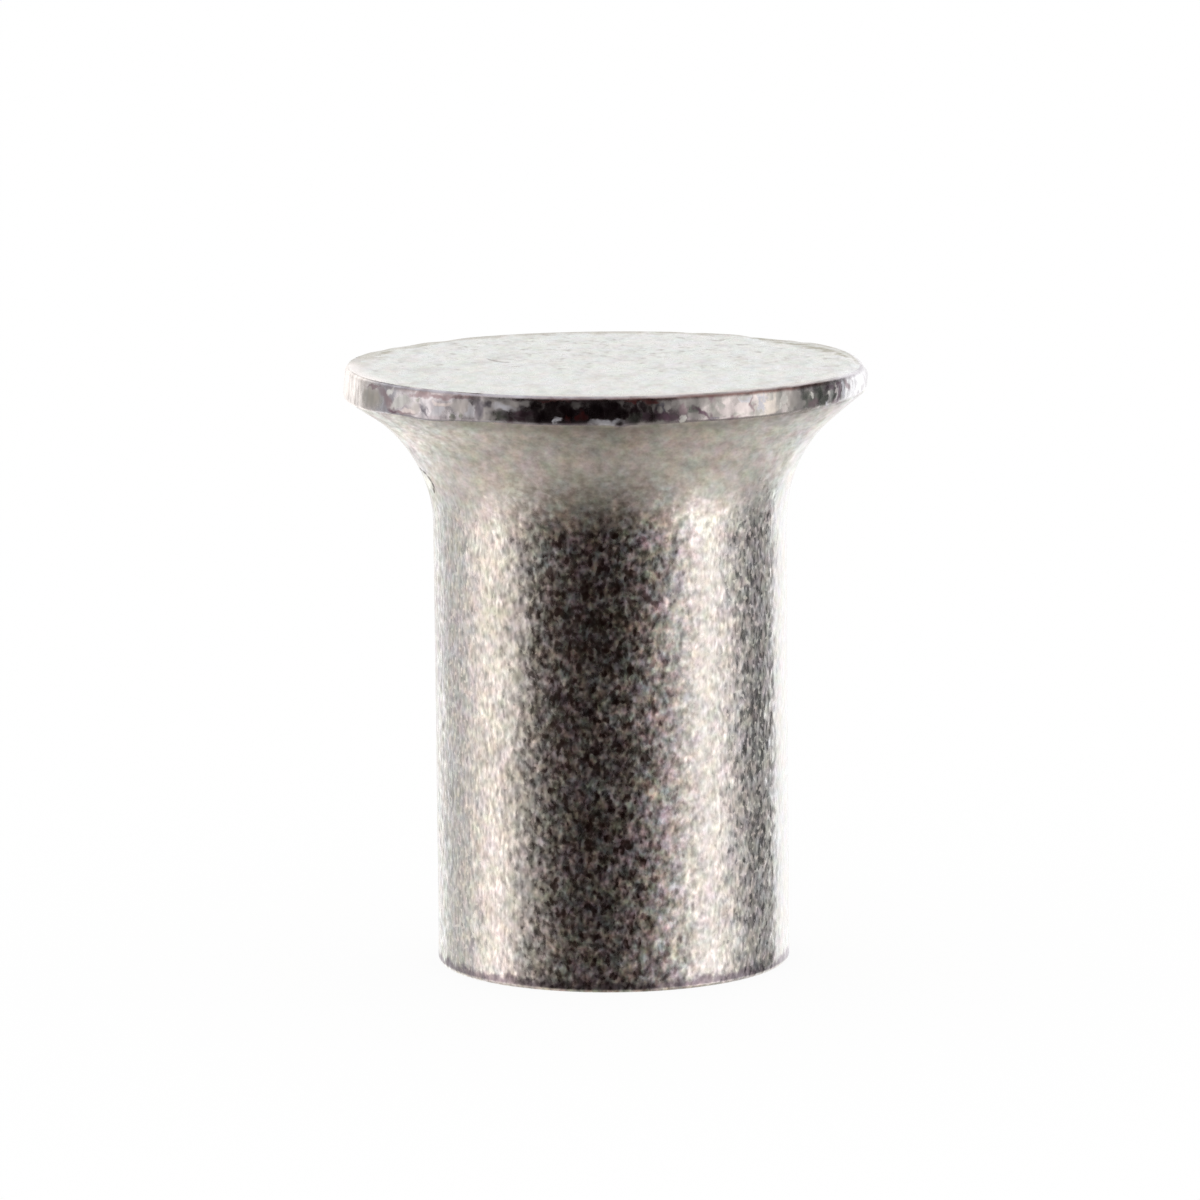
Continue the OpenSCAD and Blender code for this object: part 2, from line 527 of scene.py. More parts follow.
class PlatedSkin(Finish):
    """Granular plating on the neck, the shank and the lip."""

    def __init__(self, n):
        super().__init__(n)
        # Shares of what belongs to the neck, to the shank and to places round them.
        self.neck = n.ease(self.height, 6.7, 8.0)
        self.shank = n.maths("SUBTRACT", 1.0, self.neck)
        self.front = n.product(n.ease(self.sideways, 32, 10), self.shank)
        self.beside = n.product(n.ease(self.sideways, 24, 38), self.shank)
        self.facing = n.ease(self.sideways, 34, 14)
        # The plating is worn smooth down the right edge.
        self.worn = n.product(n.ease(self.turn, 63, 68),
                              n.ease(self.turn, 135, 92))
        self.wrapped = self.wrapped_place()
        # Grains drawn out a little along the shank, or at its sides into short upright fibres.
        self.drawn = n.vector("MULTIPLY", self.wrapped, (1, 1, 0.8))
        self.fibred = n.vector("MULTIPLY", self.wrapped, (1, 1, 0.42))
        self.shallow = n.vector("MULTIPLY", self.place, (1, 0.5, 1))
        self.polish = self.grains(0.042, 1, 0.032, 14)
        self.pits = self.make_pits()
        self.glint_specks = self.make_glint_specks()

    def wrapped_place(self):
        """The place on a cylinder, packed closer up the neck's flare, most of all at its sides."""
        n = self.n
        out = n.vector("MULTIPLY", self.place, (1, 1, 0))
        reach = n.add("VectorMath", {0: out}, operation="LENGTH").outputs["Value"]
        flare = n.maths("MAXIMUM", n.maths("SUBTRACT", reach, SHANK_R * MM), 0.0)
        packed = n.product(flare, n.remap(self.sideways, 15, 60, 0.5, 1.3))
        rise = n.maths("ADD", n.product(self.height, MM), packed)
        up = n.add("CombineXYZ", {0: 0.0, 1: 0.0, 2: rise}).outputs[0]
        return n.vector("MULTIPLY_ADD", n.vector("NORMALIZE", out), (SHANK_R * MM,) * 3, up)

    def grains(self, size, seed, fibre_size, fibre_seed):
        """Grains in front and on the neck, and fibres at the shank's sides."""
        n = self.n
        return n.blend(self.beside, n.grain(self.drawn, size, detail=1.2, seed=seed),
                       n.grain(self.fibred, fibre_size, detail=1.2, seed=fibre_seed))

    def make_pits(self):
        n = self.n
        # Pits, stronger on the camera's side, where their painted shade is darkest.
        spots = n.grain(self.drawn, 0.060, detail=1.0, seed=5)
        return n.product(n.remap(spots, 0.54, 0.70), n.remap(self.facing, 0, 1, 0.45, 1.0),
                         n.remap(self.neck, 0, 1, 1.0, 0.3))

    def make_glint_specks(self):
        """Painted glints: tiny matt grains, coloured bright, that catch light where the rest is
        dark.
        """
        n = self.n
        glint_specks = n.remap(n.grain(self.drawn, 0.028, detail=0.0, seed=13), 0.62, 0.74)
        return n.product(glint_specks, n.remap(n.maths("ADD", self.neck, self.worn), 0, 1, 1.0, 0.2),
                         n.remap(self.facing, 0, 1, 0.75, 0.30))

    def leaning(self):
        """The normal, with a lean of its own for each grain."""
        n = self.n
        wander = n.add("TexNoise", {"Vector": n.turned(self.drawn, 8), "Scale": 8.0 / MM,
                                    "Detail": 1.5, "Roughness": 0.5})
        lean = n.vector("SUBTRACT", wander.outputs["Color"], (0.5, 0.5, 0.5))
        most = n.product(n.remap(self.neck, 0, 1, 0.40, 0.10), n.remap(self.worn, 0, 1, 1.0, 0.35))
        lean = n.add("VectorMath", {0: lean, "Scale": most}, operation="SCALE").outputs[0]
        flat = n.add("NewGeometry").outputs["Normal"]
        return n.vector("NORMALIZE", n.vector("ADD", flat, lean))

    def roughness(self):
        n = self.n
        rough = n.blend(self.neck, n.remap(self.polish, 0.28, 0.72, 0.52, 0.17),
                        n.spread(self.polish, 0.48, 0.34))
        broad = n.grain(self.place, 0.6, seed=4)
        rough = n.maths("ADD", rough, n.spread(broad, -0.06, 0.06))
        rough = n.maths("SUBTRACT", rough, n.product(self.pits, 0.22))
        shiny = n.marks(self.turn, self.height, SHINY_PATCHES)
        rough = n.maths("SUBTRACT", rough, n.product(shiny, 0.07))
        rough = n.maths("MAXIMUM", rough, 0.08)
        rough = n.blend(self.glint_specks, rough, 0.55)
        return n.blend(n.product(self.worn, 0.7), rough, 0.24)

    def plating(self):
        """The colour of the grains, with painted glints, without their tints."""
        n = self.n
        tone = self.grains(0.038, 2, 0.028, 15)
        # On the camera's side the grains' colours spread wider, as painted light and shade.
        colour = n.mix(n.spread(tone), n.mix(self.front, GRAIN_DULL, FRONT_SHADED_GRAIN),
                       n.mix(self.front, GRAIN_BRIGHT, FRONT_LIT_GRAIN))
        colour = n.mix(n.product(self.worn, 0.7), colour, WORN_SMOOTH)
        # Painted glints on tiny bright grains.
        colour = n.mix(self.glint_specks, colour, GLINT_SPECK)
        blots = n.grain(self.shallow, 0.085, detail=3.0, roughness=0.65, seed=10)
        blotted = n.mix(n.spread(blots), NECK_DULL, NECK_PALE)
        return n.mix(n.product(self.neck, 0.8), colour, blotted)

    def tinted(self, colour):
        """The colour with the grains' tints, which fade up the neck, and with the stains."""
        n = self.n
        share = n.remap(self.neck, 0, 1, 1.0, 0.4)
        for size, seed, large, front in GRAIN_TINTS:
            low, high = (n.mix(self.front, *pair) for pair in zip(large, front))
            shade = n.grain(self.wrapped, size, detail=3.0, roughness=0.6, seed=seed)
            tint = n.mix(n.remap(shade, 0.34, 0.66), low, high)
            colour = n.mix(share, colour, tint, blend="MULTIPLY")
        share = n.remap(self.neck, 0, 1, 0.45, 1.0)
        for size, seed, low, high in STAINS:
            shade = n.grain(self.shallow, size, detail=3.0, roughness=0.65, seed=seed)
            tint = n.mix(n.remap(shade, 0.34, 0.66), low, high)
            colour = n.mix(share, colour, tint, blend="MULTIPLY")
        return colour

    def soiled_and_shaded(self, colour):
        """The colour with pits, grit on the shoulder, painted shade and soot under the rim, a
        mauve foot.
        """
        n = self.n
        # Pits darkened by a reddish stain and by painted shade, most on the camera's side.
        share = n.product(self.pits, n.remap(self.front, 0, 1, 0.40, 0.60))
        colour = n.mix(share, colour, n.mix(self.front, PIT_STAIN_AND_SHADE, FRONT_PIT_STAIN_AND_SHADE))
        # Brown grit where the shank runs out into the neck.
        grit = n.grain(self.wrapped, 0.065, roughness=0.6, seed=11)
        share = n.product(n.remap(grit, 0.43, 0.66), n.ease(self.height, 6.6, 7.1),
                          n.ease(self.height, 8.15, 7.45),
                          n.ease(n.away(self.turn, -8), 40, 18, 0.07, 0.52))
        colour = n.mix(share, colour, GRIT)
        # Painted shade right under the rim, with a little soot-brown dirt, darkest in front.
        share = n.product(n.ease(self.height, 8.40, 8.60),
                          n.ease(self.sideways, 70, 35, 0.15, 1.0), 0.36)
        colour = n.mix(share, colour, SOOT_AND_SHADE)
        # A broken mauve band just above the lip.
        ragged = n.grain(self.place, 0.10, detail=3.0, roughness=0.6, seed=12)
        low = n.maths("ADD", self.height, n.spread(ragged, -0.07, 0.07))
        share = n.product(n.ease(low, 0.21, 0.10),
                          n.ease(self.height, 0.03, 0.07), 0.72)
        return n.mix(share, colour, MAUVE)

    def flake_highlight_and_shadow(self, colour):
        n = self.n
        # Painted highlight on the flake's face, and painted shadow behind it.
        face = n.marks(self.turn, self.height, FLAKE_HIGHLIGHT_MARKS, soft=0.6)
        shadow = n.marks(self.turn, self.height, FLAKE_SHADOW, soft=0.7)
        colour = n.mix(n.product(face, 0.9), colour, FLAKE_HIGHLIGHT_COLOUR)
        return n.mix(n.product(shadow, 0.9), colour, FLAKE_SHADOW_COLOUR)

    def depth(self):
        """Height of the bumps: fine on the shank and softer on the neck."""
        n = self.n
        fine = n.grain(self.drawn, 0.080, detail=1.5, seed=6)
        soft = n.product(n.grain(self.wrapped, 0.22, detail=3.0, seed=7), 2.0)
        return n.maths("SUBTRACT", n.blend(self.neck, fine, soft), n.product(self.pits, 0.05))


def plated_skin():
    material, n = new_material("plated_skin")
    skin = PlatedSkin(n)
    colour = skin.flake_highlight_and_shadow(skin.soiled_and_shaded(skin.tinted(skin.plating())))
    n.metal(colour, skin.roughness(), skin.depth(), 0.012, normal=skin.leaning())
    return material


# Scuffs near the top's edge, with distances from the axis in place of heights.
TOP_SCUFFS = [(128, 3.46, 5, 0.10), (122, 3.50, 5, 0.15), (116, 3.47, 4, 0.15),
              (111, 3.50, 4, 0.13), (137, 3.60, 5, 0.08), (101, 3.58, 5, 0.05),
              (92, 3.70, 4, 0.04), (-128, 3.62, 6, 0.06), (-112, 3.66, 5, 0.05)]

FACE_DULL, FACE_PALE = (0.65, 0.66, 0.635), (0.775, 0.785, 0.76)
FACE_BLOT = (0.54, 0.52, 0.50)
NICK_DARK, NICK_PALE = (0.34, 0.29, 0.27), (0.46, 0.44, 0.41)
SCRATCH = (0.26, 0.23, 0.21)
EDGE_BROWN, OLIVE, TAN = (0.36, 0.31, 0.23), (0.31, 0.28, 0.19), (0.56, 0.44, 0.38)
# Painted highlights at the face's left and right ends.
END_HIGHLIGHT_LEFT, END_HIGHLIGHT_RIGHT = (0.97, 0.90, 0.88), (0.93, 0.93, 0.97)

# Tints of the face: (size in millimetres, seed, the two tints).
FACE_TINTS = [(0.11, 6, (1.05, 0.975, 1.0), (0.96, 1.02, 0.985)),
              (0.13, 8, (1.01, 1.0, 0.945), (0.99, 0.995, 1.05))]


class HeadFace(Finish):
    """The punch-pressed top of the head: pale, satin, with fine scratches and dents."""

    def __init__(self, n):
        super().__init__(n)
        self.reach = n.maths("SQRT", n.maths("ADD", n.product(self.x, self.x),
                                             n.product(self.y, self.y)))
        # The punch left its marks drawn out from front to back.
        self.along = n.vector("MULTIPLY", self.place, (1, 0.45, 1))
        self.grains = n.grain(self.along, 0.06, detail=3.0, roughness=0.6)
        self.blots = n.grain(self.along, 0.17, detail=4.0, roughness=0.65, seed=1)
        wander = n.grain(self.place, 0.22, detail=4.0, roughness=0.65, seed=2)
        self.wander = n.spread(wander, -1, 1)
        self.scratch = self.make_scratch()

    def make_scratch(self):
        """A curved scratch on the left, on a parabola about x = -1.5 mm."""
        n = self.n
        from_turn = n.maths("ADD", self.x, 1.5)
        curve = n.product(from_turn, from_turn, 3.9)
        off = n.away(n.maths("SUBTRACT", self.y, 0.14), curve)
        return n.product(n.remap(off, 0.09, 0.03), n.remap(n.away(self.x, -1.66), 0.20, 0.14))

    def pressed(self):
        """The face's own colour, with its tints and with small dark nicks, most of them behind."""
        n = self.n
        colour = n.mix(n.spread(self.grains), FACE_DULL, FACE_PALE)
        colour = n.mix(n.remap(self.blots, 0.50, 0.66, 0.0, 0.45), colour, FACE_BLOT)
        for size, seed, low, high in FACE_TINTS:
            blend = n.grain(self.along, size, detail=3.0, roughness=0.7, seed=seed)
            tint = n.mix(n.spread(blend), low, high)
            colour = n.mix(1.0, colour, tint, blend="MULTIPLY")
        nicks = n.grain(n.vector("MULTIPLY", self.place, (0.8, 0.6, 1)), 0.075, roughness=0.6,
                        seed=7)
        share = n.product(n.ease(nicks, 0.55, 0.76),
                          n.remap(self.y, -2.6, 1.2, 0.20, 1.0))
        # The last tint's noise also decides how dark a nick is.
        return n.mix(share, colour, n.mix(n.remap(blend, 0.36, 0.64), NICK_DARK, NICK_PALE))

    def edged(self, colour):
        """The colour with what lies near the edge: a brown line, scuffs, painted highlights at the
        ends, a tan.
        """
        n = self.n
        # The line runs, broken and uneven, round the back where the face meets the rim.
        edge = n.remap(n.maths("MULTIPLY_ADD", self.wander, 0.24, self.reach),
                       HEAD_R - 0.42, HEAD_R - 0.14)
        share = n.product(edge, n.ease(self.sideways, 80, 100), 0.60)
        colour = n.mix(share, colour, EDGE_BROWN)
        # Olive scuffs inside that line, most of them on the right.
        ragged = n.maths("MULTIPLY_ADD", self.wander, 0.08, self.reach)
        scuffs = n.marks(self.turn, ragged, TOP_SCUFFS, soft=0.9)
        broken = n.remap(n.grain(self.place, 0.11, seed=9), 0.42, 0.58, 0.25, 0.95)
        colour = n.mix(n.product(scuffs, broken), colour, OLIVE)
        # Painted highlights at the face's right and left ends.
        ends = n.ease(n.away(self.sideways, 76), 24, 12)
        share = n.product(n.remap(self.reach, HEAD_R - 0.30, HEAD_R - 0.10), ends,
                          n.remap(self.x, -1, 1, 0.8, 0.5))
        colour = n.mix(share, colour, n.mix(n.remap(self.x, -1, 1), END_HIGHLIGHT_LEFT, END_HIGHLIGHT_RIGHT))
        # A tan edge along the front, to the right of the middle.
        edge = n.remap(n.maths("MULTIPLY_ADD", self.wander, 0.06, self.reach),
                       HEAD_R - 0.30, HEAD_R - 0.10)
        share = n.product(edge, n.ease(n.away(self.turn, 22), 52, 30), 0.40)
        return n.mix(share, colour, TAN)

    def depth(self):
        """Height of the bumps, with the scratch cut into it."""
        n = self.n
        rises = n.maths("MULTIPLY_ADD", self.blots, 2.6, self.grains)
        return n.maths("SUBTRACT", rises, n.product(self.scratch, 2.0))


def head_face():
    material, n = new_material("head_face")
    face = HeadFace(n)
    colour = n.mix(n.product(face.scratch, 0.6), face.pressed(), SCRATCH)
    rough = n.spread(face.blots, 0.22, 0.42)
    n.metal(face.edged(colour), rough, face.depth(), 0.026)
    return material


# The rim at large, dim and pale, on its left and right, and painted highlights at its ends.
RIM_DIM = ((0.44, 0.42, 0.47), (0.46, 0.46, 0.44))
RIM_PALE = ((0.64, 0.63, 0.69), (0.64, 0.60, 0.60))
RIM_END_HIGHLIGHTS = ((0.92, 0.84, 0.80), (0.84, 0.83, 0.85))
LINE_RED = ((0.27, 0.20, 0.20), (0.17, 0.075, 0.065))
LINE_GREY, LOW_MAUVE, DRAG = (0.40, 0.38, 0.43), (0.22, 0.18, 0.22), (0.31, 0.28, 0.30)

# Tones of the rim's marks, as (red, green, blue, roughness), and then the marks: nicks and
# stains, and painted reflections, highlights and shade on its dented facets.
RIM_TONES = {
    "dusk": (0.16, 0.12, 0.14, 0.24), "olive": (0.42, 0.40, 0.37, 0.36),
    "dim": (0.24, 0.26, 0.235, 0.28), "grey": (0.66, 0.64, 0.65, 0.50),
    "smoke": (0.50, 0.48, 0.475, 0.46), "mauve": (0.36, 0.28, 0.31, 0.34),
    "haze": (0.60, 0.57, 0.59, 0.30), "slate": (0.26, 0.25, 0.30, 0.30),
    "plum": (0.19, 0.12, 0.165, 0.33), "black": (0.050, 0.026, 0.036, 0.27),
    "wine": (0.22, 0.055, 0.055, 0.40), "cream": (0.93, 0.87, 0.80, 0.46),
    "rose": (0.90, 0.83, 0.84, 0.48), "frost": (0.88, 0.89, 0.97, 0.66),
    "white": (0.96, 0.96, 0.94, 0.80), "gleam": (0.99, 1.00, 1.00, 0.86),
}
RIM_MARKS = {
    "dusk": [(-4.5, 8.81, 12, 0.17), (12, 8.75, 7, 0.08)],
    "olive": [(-62, 8.8, 4.2, 0.14), (43.5, 8.84, 2, 0.12)],
    "dim": [(-33, 8.74, 0.6, 0.09, -6), (-35.5, 8.67, 0.8, 0.06), (-24.5, 8.74, 1.8, 0.06),
        (18.2, 8.85, 1.3, 0.1), (48, 8.8, 2.2, 0.12), (52.6, 8.85, 1.5, 0.14),
        (54.4, 8.74, 1.4, 0.1), (58, 8.8, 1, 0.1), (5.4, 8.73, 1.2, 0.08)],
    "grey": [(-25.6, 8.9, 2.6, 0.1), (-20.5, 8.94, 4.5, 0.05), (-27, 8.72, 1.4, 0.08),
        (-46, 8.75, 1.6, 0.09), (-33, 8.86, 2, 0.09)],
    "smoke": [(-14.6, 8.88, 0.7, 0.07), (-6.8, 8.93, 1.8, 0.065), (2.5, 8.93, 0.9, 0.065),
        (9.8, 8.86, 0.7, 0.07, -6), (12.7, 8.86, 0.8, 0.1), (16.5, 8.93, 3, 0.06),
        (20.2, 8.93, 1.4, 0.06), (22.6, 8.74, 1.2, 0.06), (24, 8.86, 0.9, 0.1),
        (43.8, 8.88, 2.4, 0.11), (45.5, 8.8, 1.8, 0.12), (26.9, 8.76, 0.7, 0.08),
        (18.6, 8.73, 1.3, 0.06)],
    "mauve": [(-56, 8.84, 1.8, 0.17, -14), (-44, 8.955, 2.8, 0.04, 20), (-39, 8.97, 3, 0.035),
        (-33, 8.985, 4, 0.022), (-61.5, 8.965, 3.2, 0.022, 90), (-50, 8.665, 3.6, 0.022),
        (-10, 8.985, 8, 0.018), (15.8, 8.83, 1.3, 0.07), (22.5, 8.96, 1.1, 0.04),
        (32.2, 8.82, 0.5, 0.13, -5), (27.5, 8.67, 1.6, 0.03), (50.6, 8.74, 1.7, 0.07),
        (59, 8.7, 1, 0.04), (65.2, 8.9, 0.9, 0.1, -14)],
    "haze": [(70.7, 8.84, 0.7, 0.07), (68, 8.95, 0.6, 0.05, -8), (77.5, 8.76, 1.8, 0.05),
        (79, 8.87, 1.4, 0.06), (84, 8.8, 3.5, 0.08), (73.5, 8.72, 1, 0.04),
        (87.5, 8.84, 5, 0.15)],
    "slate": [(-43.2, 8.74, 0.9, 0.1, -15), (-28.6, 8.83, 1.5, 0.13), (11.3, 8.87, 0.6, 0.09),
        (22.9, 8.68, 1.2, 0.03), (-27, 8.9, 1, 0.05)],
    "plum": [(-53.4, 8.685, 1.6, 0.035), (-21.4, 8.72, 0.8, 0.07), (-18.2, 8.78, 2.4, 0.045),
        (-19, 8.71, 1.2, 0.03), (7.6, 8.77, 1.2, 0.08), (12.2, 8.725, 2.6, 0.05),
        (20.4, 8.78, 1, 0.09, -18), (56.8, 8.945, 1.8, 0.06, -20), (61.1, 8.8, 0.95, 0.17),
        (60.2, 8.95, 0.7, 0.06, -14), (10.6, 8.78, 1, 0.04)],
    "black": [(-15.7, 8.88, 1.3, 0.1), (-12.1, 8.92, 1.3, 0.11), (-14.4, 8.74, 2.4, 0.085),
        (-9, 8.8, 1.2, 0.17), (-5, 8.8, 1.8, 0.08), (-2.4, 8.84, 2.2, 0.085),
        (0.6, 8.91, 1.6, 0.1, -6), (2.2, 8.82, 1.4, 0.085), (5.1, 8.89, 1, 0.12),
        (7.4, 8.9, 1, 0.07), (3.4, 8.74, 0.7, 0.05)],
    "wine": [(-5.8, 8.78, 0.9, 0.07), (-9, 8.73, 0.7, 0.05), (-12.5, 8.985, 3.5, 0.022),
        (5, 8.985, 1.6, 0.024), (9, 8.965, 2, 0.03)],
    "cream": [(37, 8.88, 1.6, 0.1), (37.6, 8.73, 1.5, 0.06)],
    "rose": [(-37.6, 8.86, 2.2, 0.03), (-47.8, 8.7, 1.6, 0.035), (30, 8.79, 1.9, 0.07),
        (33, 8.93, 0.9, 0.045), (25.8, 8.82, 1.8, 0.1), (59.4, 8.86, 0.35, 0.15)],
    "frost": [(-39.2, 8.76, 1.7, 0.07), (-11.2, 8.7, 0.75, 0.045), (-22.8, 8.88, 2.9, 0.05, -22),
        (-1, 8.675, 3.2, 0.048), (30.3, 8.92, 1.1, 0.06), (34.8, 8.85, 0.7, 0.13),
        (55.6, 8.68, 0.7, 0.04), (63.2, 8.84, 0.8, 0.16, -6), (-31, 8.78, 0.8, 0.1)],
    "white": [(-45, 8.885, 0.6, 0.022), (15.9, 8.7, 0.75, 0.05), (24.8, 8.875, 0.6, 0.07),
        (40.1, 8.765, 0.6, 0.035), (49.7, 8.855, 0.6, 0.03), (56.3, 8.835, 0.75, 0.04),
        (41, 8.88, 0.7, 0.07), (30.3, 8.96, 0.7, 0.05), (36.8, 8.93, 0.9, 0.05)],
    "gleam": [(-51, 8.81, 2.4, 0.1, 22), (-49.2, 8.88, 1.7, 0.06), (-54, 8.94, 1.1, 0.055, 14)],
}

# Tones that the dark band along the rim's foot leaves clear.
BRIGHT_TONES = ("white", "frost", "rose")


class RimSteel(Finish):
    """The bruised edge of the head: glossier, with flats, nicks, painted reflections and a dark
    red upper edge.
    """

    def __init__(self, n):
        super().__init__(n)
        self.side = n.ease(self.turn, -20, 20)
        self.ends = n.ease(self.sideways, 56, 68)
        self.patches = n.grain(self.place, 0.20)
        self.dark_patches = n.grain(self.place, 0.13, seed=1)
        self.fine = n.grain(self.place, 0.06, seed=2)
        self.upright = n.vector("MULTIPLY", self.place, (1, 1, 0.15))

    def plain(self):
        """The colour and the roughness where nothing struck the rim."""
        n = self.n
        colour = n.mix(n.remap(self.dark_patches, 0.36, 0.58), n.mix(self.side, *RIM_DIM),
                       n.mix(self.side, *RIM_PALE))
        # Painted highlights at the rim's ends and round its back.
        colour = n.mix(self.ends, colour, n.mix(self.side, *RIM_END_HIGHLIGHTS))
        return colour, n.remap(self.dark_patches, 0.34, 0.66, 0.34, 0.18)

    def marked_with_painted_reflections(self, colour, rough):
        """Colour and roughness with nicks and painted reflections, and how much the bright marks
        take.

        Their outlines wander."""
        n = self.n
        astray = n.spread(n.grain(self.place, 0.06, seed=3), -1.0, 1.0)
        turn = n.maths("ADD", self.turn, astray)
        astray = n.spread(n.grain(self.place, 0.06, seed=4), -0.030, 0.030)
        height = n.maths("ADD", self.height, astray)
        bright = 0.0
        for tone, rows in RIM_MARKS.items():
            *shade, gloss = RIM_TONES[tone]
            inside = n.marks(turn, height, rows, soft=1.1)
            share = n.product(inside, 0.92)
            colour = n.mix(share, colour, shade)
            rough = n.blend(share, rough, gloss)
            if tone in BRIGHT_TONES:
                bright = n.maths("MAXIMUM", bright, inside)
        return colour, rough, bright

    def lined(self, colour, bright):
        """The colour with a mauve foot, and with the line along the upper edge."""
        n = self.n
        low = n.maths("ADD", self.height, n.spread(self.patches, -0.04, 0.04))
        share = n.product(n.remap(low, 8.71, 8.655), n.remap(self.sideways, 60, 14, 0.12, 0.62),
                          n.maths("SUBTRACT", 1.0, bright))
        colour = n.mix(share, colour, LOW_MAUVE)
        level = n.maths("ADD", self.height, n.spread(self.patches, -0.010, 0.010))
        off = n.away(level, LENGTH - 0.040)
        # The line is grey round the right end, and elsewhere dark red, softer on the left.
        right_end = n.ease(n.away(self.turn, 72), 20, 10, 0.0, 0.60)
        share = n.product(n.ease(off, 0.050, 0.0), right_end)
        colour = n.mix(share, colour, LINE_GREY)
        share = n.product(n.ease(off, 0.052, 0.0), n.ease(self.sideways, 62, 50, 0.15, 0.84),
                          n.ease(self.turn, -24, -14, 0.55, 1.0))
        return n.mix(share, colour, n.mix(self.side, *LINE_RED))

    def dragged(self, colour):
        """The colour with fine upright marks of the tool."""
        n = self.n
        drag = n.grain(self.upright, 0.045, seed=5)
        return n.mix(n.remap(drag, 0.45, 0.70, 0.0, 0.26), colour, DRAG)

    def depth(self):
        """Height of the bumps: patches all round, and upright streaks at the ends."""
        n = self.n
        depth = n.maths("ADD", n.product(self.patches, 1.2), n.product(self.fine, 0.15))
        streaks = n.grain(self.upright, 0.09, detail=1.0)
        return n.maths("ADD", depth, n.product(streaks, n.remap(self.ends, 0, 1, 0.0, 0.8)))


def rim_steel():
    material, n = new_material("rim_steel")
    rim = RimSteel(n)
    colour, rough, bright = rim.marked_with_painted_reflections(*rim.plain())
    colour = rim.dragged(rim.lined(colour, bright))
    rough = n.maths("ADD", rough, n.spread(rim.fine, -0.05, 0.05), clamp=True)
    n.metal(colour, rough, rim.depth(), 0.022)
    return material


def bore_steel():
    """The inside of the tail: duller than the outside, with marks drawn along it."""
    material, n = new_material("bore_steel")
    place = n.add("TexCoord").outputs["Object"]
    grains = n.grain(place, 0.07)
    marks = n.grain(n.vector("MULTIPLY", place, (1, 1, 0.08)), 0.06)
    colour = n.mix(n.spread(grains), (0.50, 0.485, 0.46), (0.66, 0.645, 0.62))
    rough = n.spread(grains, 0.30, 0.50)
    n.metal(colour, rough, n.maths("ADD", grains, marks), 0.010)
    return material


# ---------------------------------------------------------------- stage, light

# What the metal mirrors round about, by azimuth in degrees from the camera's side towards +X:
# the white sweep behind, two soft panels at the sides, and the dim brown room in front.
SURROUND = [
    (-180, (1.00, 1.00, 1.00)), (-152, (1.36, 1.36, 1.34)), (-138, (0.72, 0.72, 0.71)),
    (-118, (0.50, 0.50, 0.49)), (-104, (0.69, 0.67, 0.64)), (-92, (1.37, 1.27, 1.17)),
    (-78, (1.59, 1.475, 1.35)), (-66, (0.62, 0.58, 0.54)), (-56, (0.15, 0.135, 0.125)),
    (-40, (0.035, 0.026, 0.022)), (-15, (0.014, 0.009, 0.008)), (0, (0.011, 0.007, 0.006)),
    (14, (0.026, 0.018, 0.015)), (26, (0.14, 0.13, 0.125)), (40, (0.48, 0.46, 0.45)),
    (54, (1.02, 0.97, 0.93)), (69, (1.55, 1.47, 1.39)), (82, (0.84, 0.80, 0.775)),
    (93, (0.28, 0.28, 0.28)), (101, (0.11, 0.11, 0.11)), (126, (0.12, 0.12, 0.12)),
    (131, (1.30, 1.30, 1.30)), (164, (1.30, 1.30, 1.30)), (180, (1.00, 1.00, 1.00)),
]

# The table that the neck mirrors is a warm white.
TABLE_TINT = (1.0, 0.945, 0.85)
WHITE = (1, 1, 1)


def sine(elevation):
    """The upward part of a direction that lies so many degrees above the horizon."""
    return math.sin(math.radians(elevation))


def room_light(n, x, back):
    """What a direction near the horizon meets, by its azimuth."""
    along = n.remap(n.maths("ARCTAN2", x, back), -math.pi, math.pi)
    ramp = n.add("ValToRGB", {"Fac": along})
    stops = ramp.color_ramp.elements
    while len(stops) > 1:
        stops.remove(stops[-1])
    for index, (angle, light) in enumerate(SURROUND):
        at = (angle + 180) / 360
        stop = stops[0] if index == 0 else stops.new(at)
        stop.position = at
        stop.color = (*light, 1.0)
    return ramp.outputs["Color"]


def table_light(n, x, y):
    """What a direction that points down meets: brighter aside, and behind on the left."""
    aside = n.product(n.away(x), 0.35)
    ahead = n.product(n.maths("MINIMUM", y, 0.0), 0.38)
    behind_left = n.product(n.remap(y, 0.50, 0.95, 0.0, 0.38), n.remap(x, 0.0, -0.25))
    behind_right = n.product(n.remap(y, 0.30, 0.90, 0.0, -0.20), n.remap(x, 0.0, 0.25))
    behind = n.maths("ADD", behind_left, behind_right)
    under = n.maths("ADD", n.maths("ADD", aside, ahead), n.maths("ADD", behind, 0.44))
    return n.mix(1.0, n.grey(under), TABLE_TINT, blend="MULTIPLY")


def near_table(n, light, x, y, z):
    """The light, raised where it comes off the near part of the table, most of all at right."""
    near = n.product(n.ease(z, sine(-12), sine(-24)), n.ease(z, sine(-46), sine(-32)))
    near_side = n.maths("MAXIMUM", n.remap(y, 0.60, 0.10), n.remap(x, 0.0, -0.2))
    gain = n.product(near_side, n.remap(x, -1, 1, 0.04, 0.56))
    light = n.mix(1.0, light, n.grey(n.maths("MULTIPLY_ADD", near, gain, 1.0)), blend="MULTIPLY")
    glow = n.product(near, near_side, n.remap(x, 0.45, 0.85, 0.0, 0.13))
    return n.mix(glow, light, WHITE, blend="ADD")


